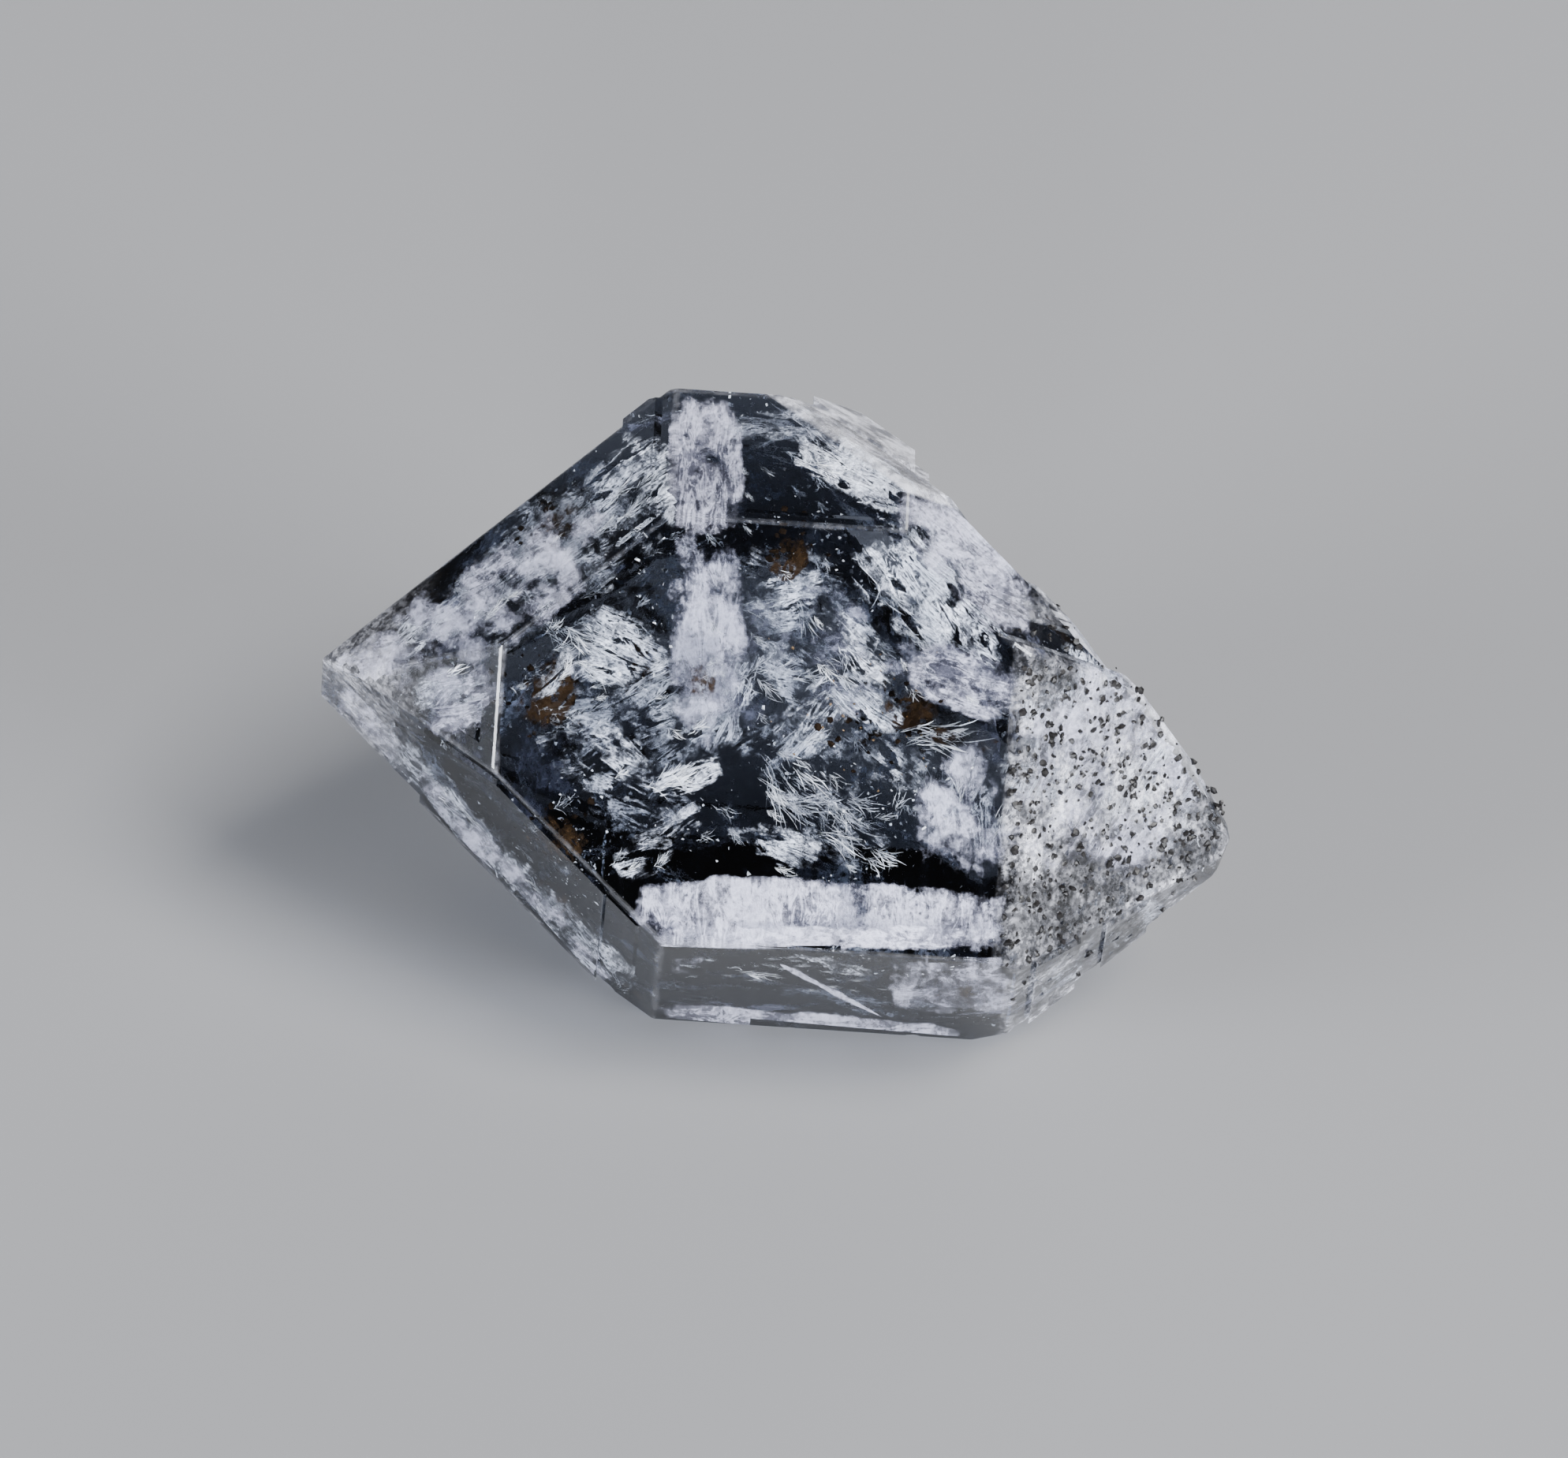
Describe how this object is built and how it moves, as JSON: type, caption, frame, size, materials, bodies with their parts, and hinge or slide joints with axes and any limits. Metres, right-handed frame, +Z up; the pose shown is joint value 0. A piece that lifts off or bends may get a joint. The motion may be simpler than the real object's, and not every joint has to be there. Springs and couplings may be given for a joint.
{
  "type": "herkimer diamond",
  "caption": "Loose clear quartz crystal with a point at both ends and ledged, pitted faces, lying on one of its flat prism faces as a mineral specimen.",
  "frame": {"origin": "on the surface that the crystal lies on, under the middle of its outline", "axes": "+X along the crystal's long axis, towards the pitted and more worn point; +Z up, out of the upper prism face; the face that the crystal rests on looks down -Z"},
  "size_m": [0.0202, 0.0136, 0.0137],
  "materials": {
    "crystal": "clear quartz with bright natural faces, light worn ridges, and a right end frosted by fine pits and dark specks"
  },
  "bodies": {
    "root": {"crystal": "crystal"}
  },
  "joints": []
}
